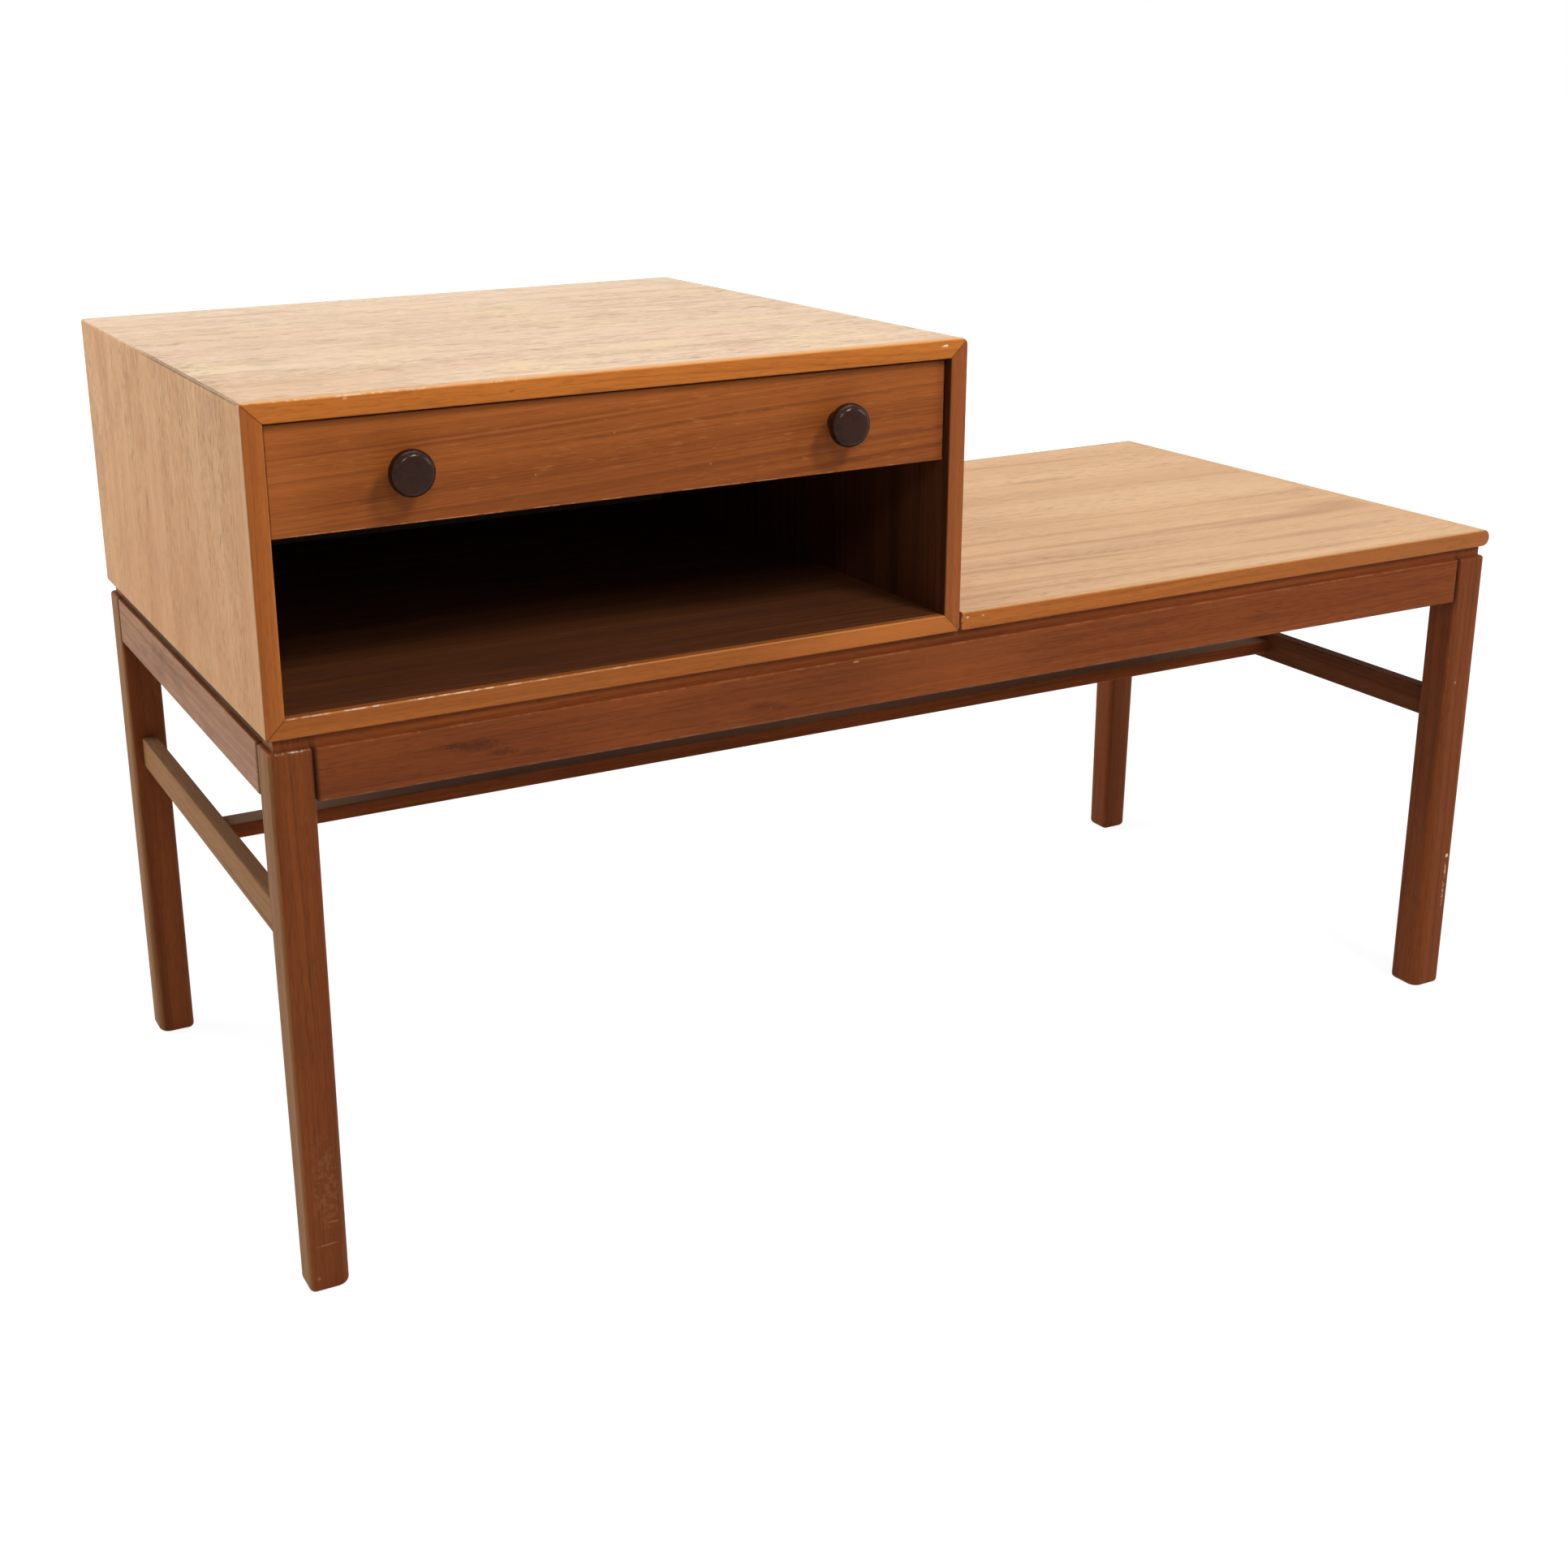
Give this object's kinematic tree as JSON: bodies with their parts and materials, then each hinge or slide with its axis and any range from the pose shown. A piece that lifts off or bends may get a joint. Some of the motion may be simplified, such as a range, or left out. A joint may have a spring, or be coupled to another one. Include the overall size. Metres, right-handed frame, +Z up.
{
  "type": "telephone bench",
  "caption": "Low wooden bench on a leg frame, with a small case that has a drawer over an open compartment beside a flat seat board.",
  "frame": {"origin": "on the floor, under the middle of the whole bench", "axes": "+Z up, -Y towards the front with the drawer, +X from the case towards the seat"},
  "size_m": [1.0706, 0.4966, 0.627],
  "materials": {
    "teak_board": "oiled, satin, faded",
    "teak_solid": "oiled, satin",
    "dark_teak": "waxed, satin gloss",
    "beech": "planed, bare",
    "plywood": "sanded, bare",
    "steel": "plain"
  },
  "bodies": {
    "bench": {"back_panel_screws": "steel", "back_rail": "teak_solid", "block_back_left": "beech", "block_back_right": "beech", "block_front_left": "beech", "block_front_right": "beech", "case_back": "plywood", "case_bottom": "teak_board", "case_bottom_lip": "teak_solid", "case_left": "teak_board", "case_left_lip": "teak_solid", "case_right": "teak_board", "case_right_lip": "teak_solid", "case_screws": "steel", "case_splines": "teak_solid", "case_top": "teak_board", "case_top_lip": "teak_solid", "front_rail": "teak_solid", "left_rail": "teak_solid", "left_runner": "beech", "left_stretcher": "teak_solid", "leg_back_left": "teak_solid", "leg_back_right": "teak_solid", "leg_front_left": "teak_solid", "leg_front_right": "teak_solid", "long_stretcher": "teak_solid", "middle_bearer": "beech", "right_rail": "teak_solid", "right_runner": "beech", "right_stretcher": "teak_solid", "runner_screws": "steel", "seat_back_lip": "teak_solid", "seat_front_lip": "teak_solid", "seat_left_lip": "teak_solid", "seat_nose": "teak_solid", "seat_panel": "teak_board", "seat_screws": "steel"},
    "drawer": {"drawer_front": "teak_solid", "drawer_left_side": "beech", "drawer_right_side": "beech", "drawer_back": "beech", "drawer_bottom": "plywood", "left_knob": "dark_teak", "right_knob": "dark_teak", "knob_screws": "steel", "drawer_bottom_screws": "steel"}
  },
  "joints": [
    {"name": "drawer_slide", "type": "slide", "parent": "bench", "child": "drawer", "axis": [0, -1, 0], "range_m": [0, 0.3]}
  ]
}
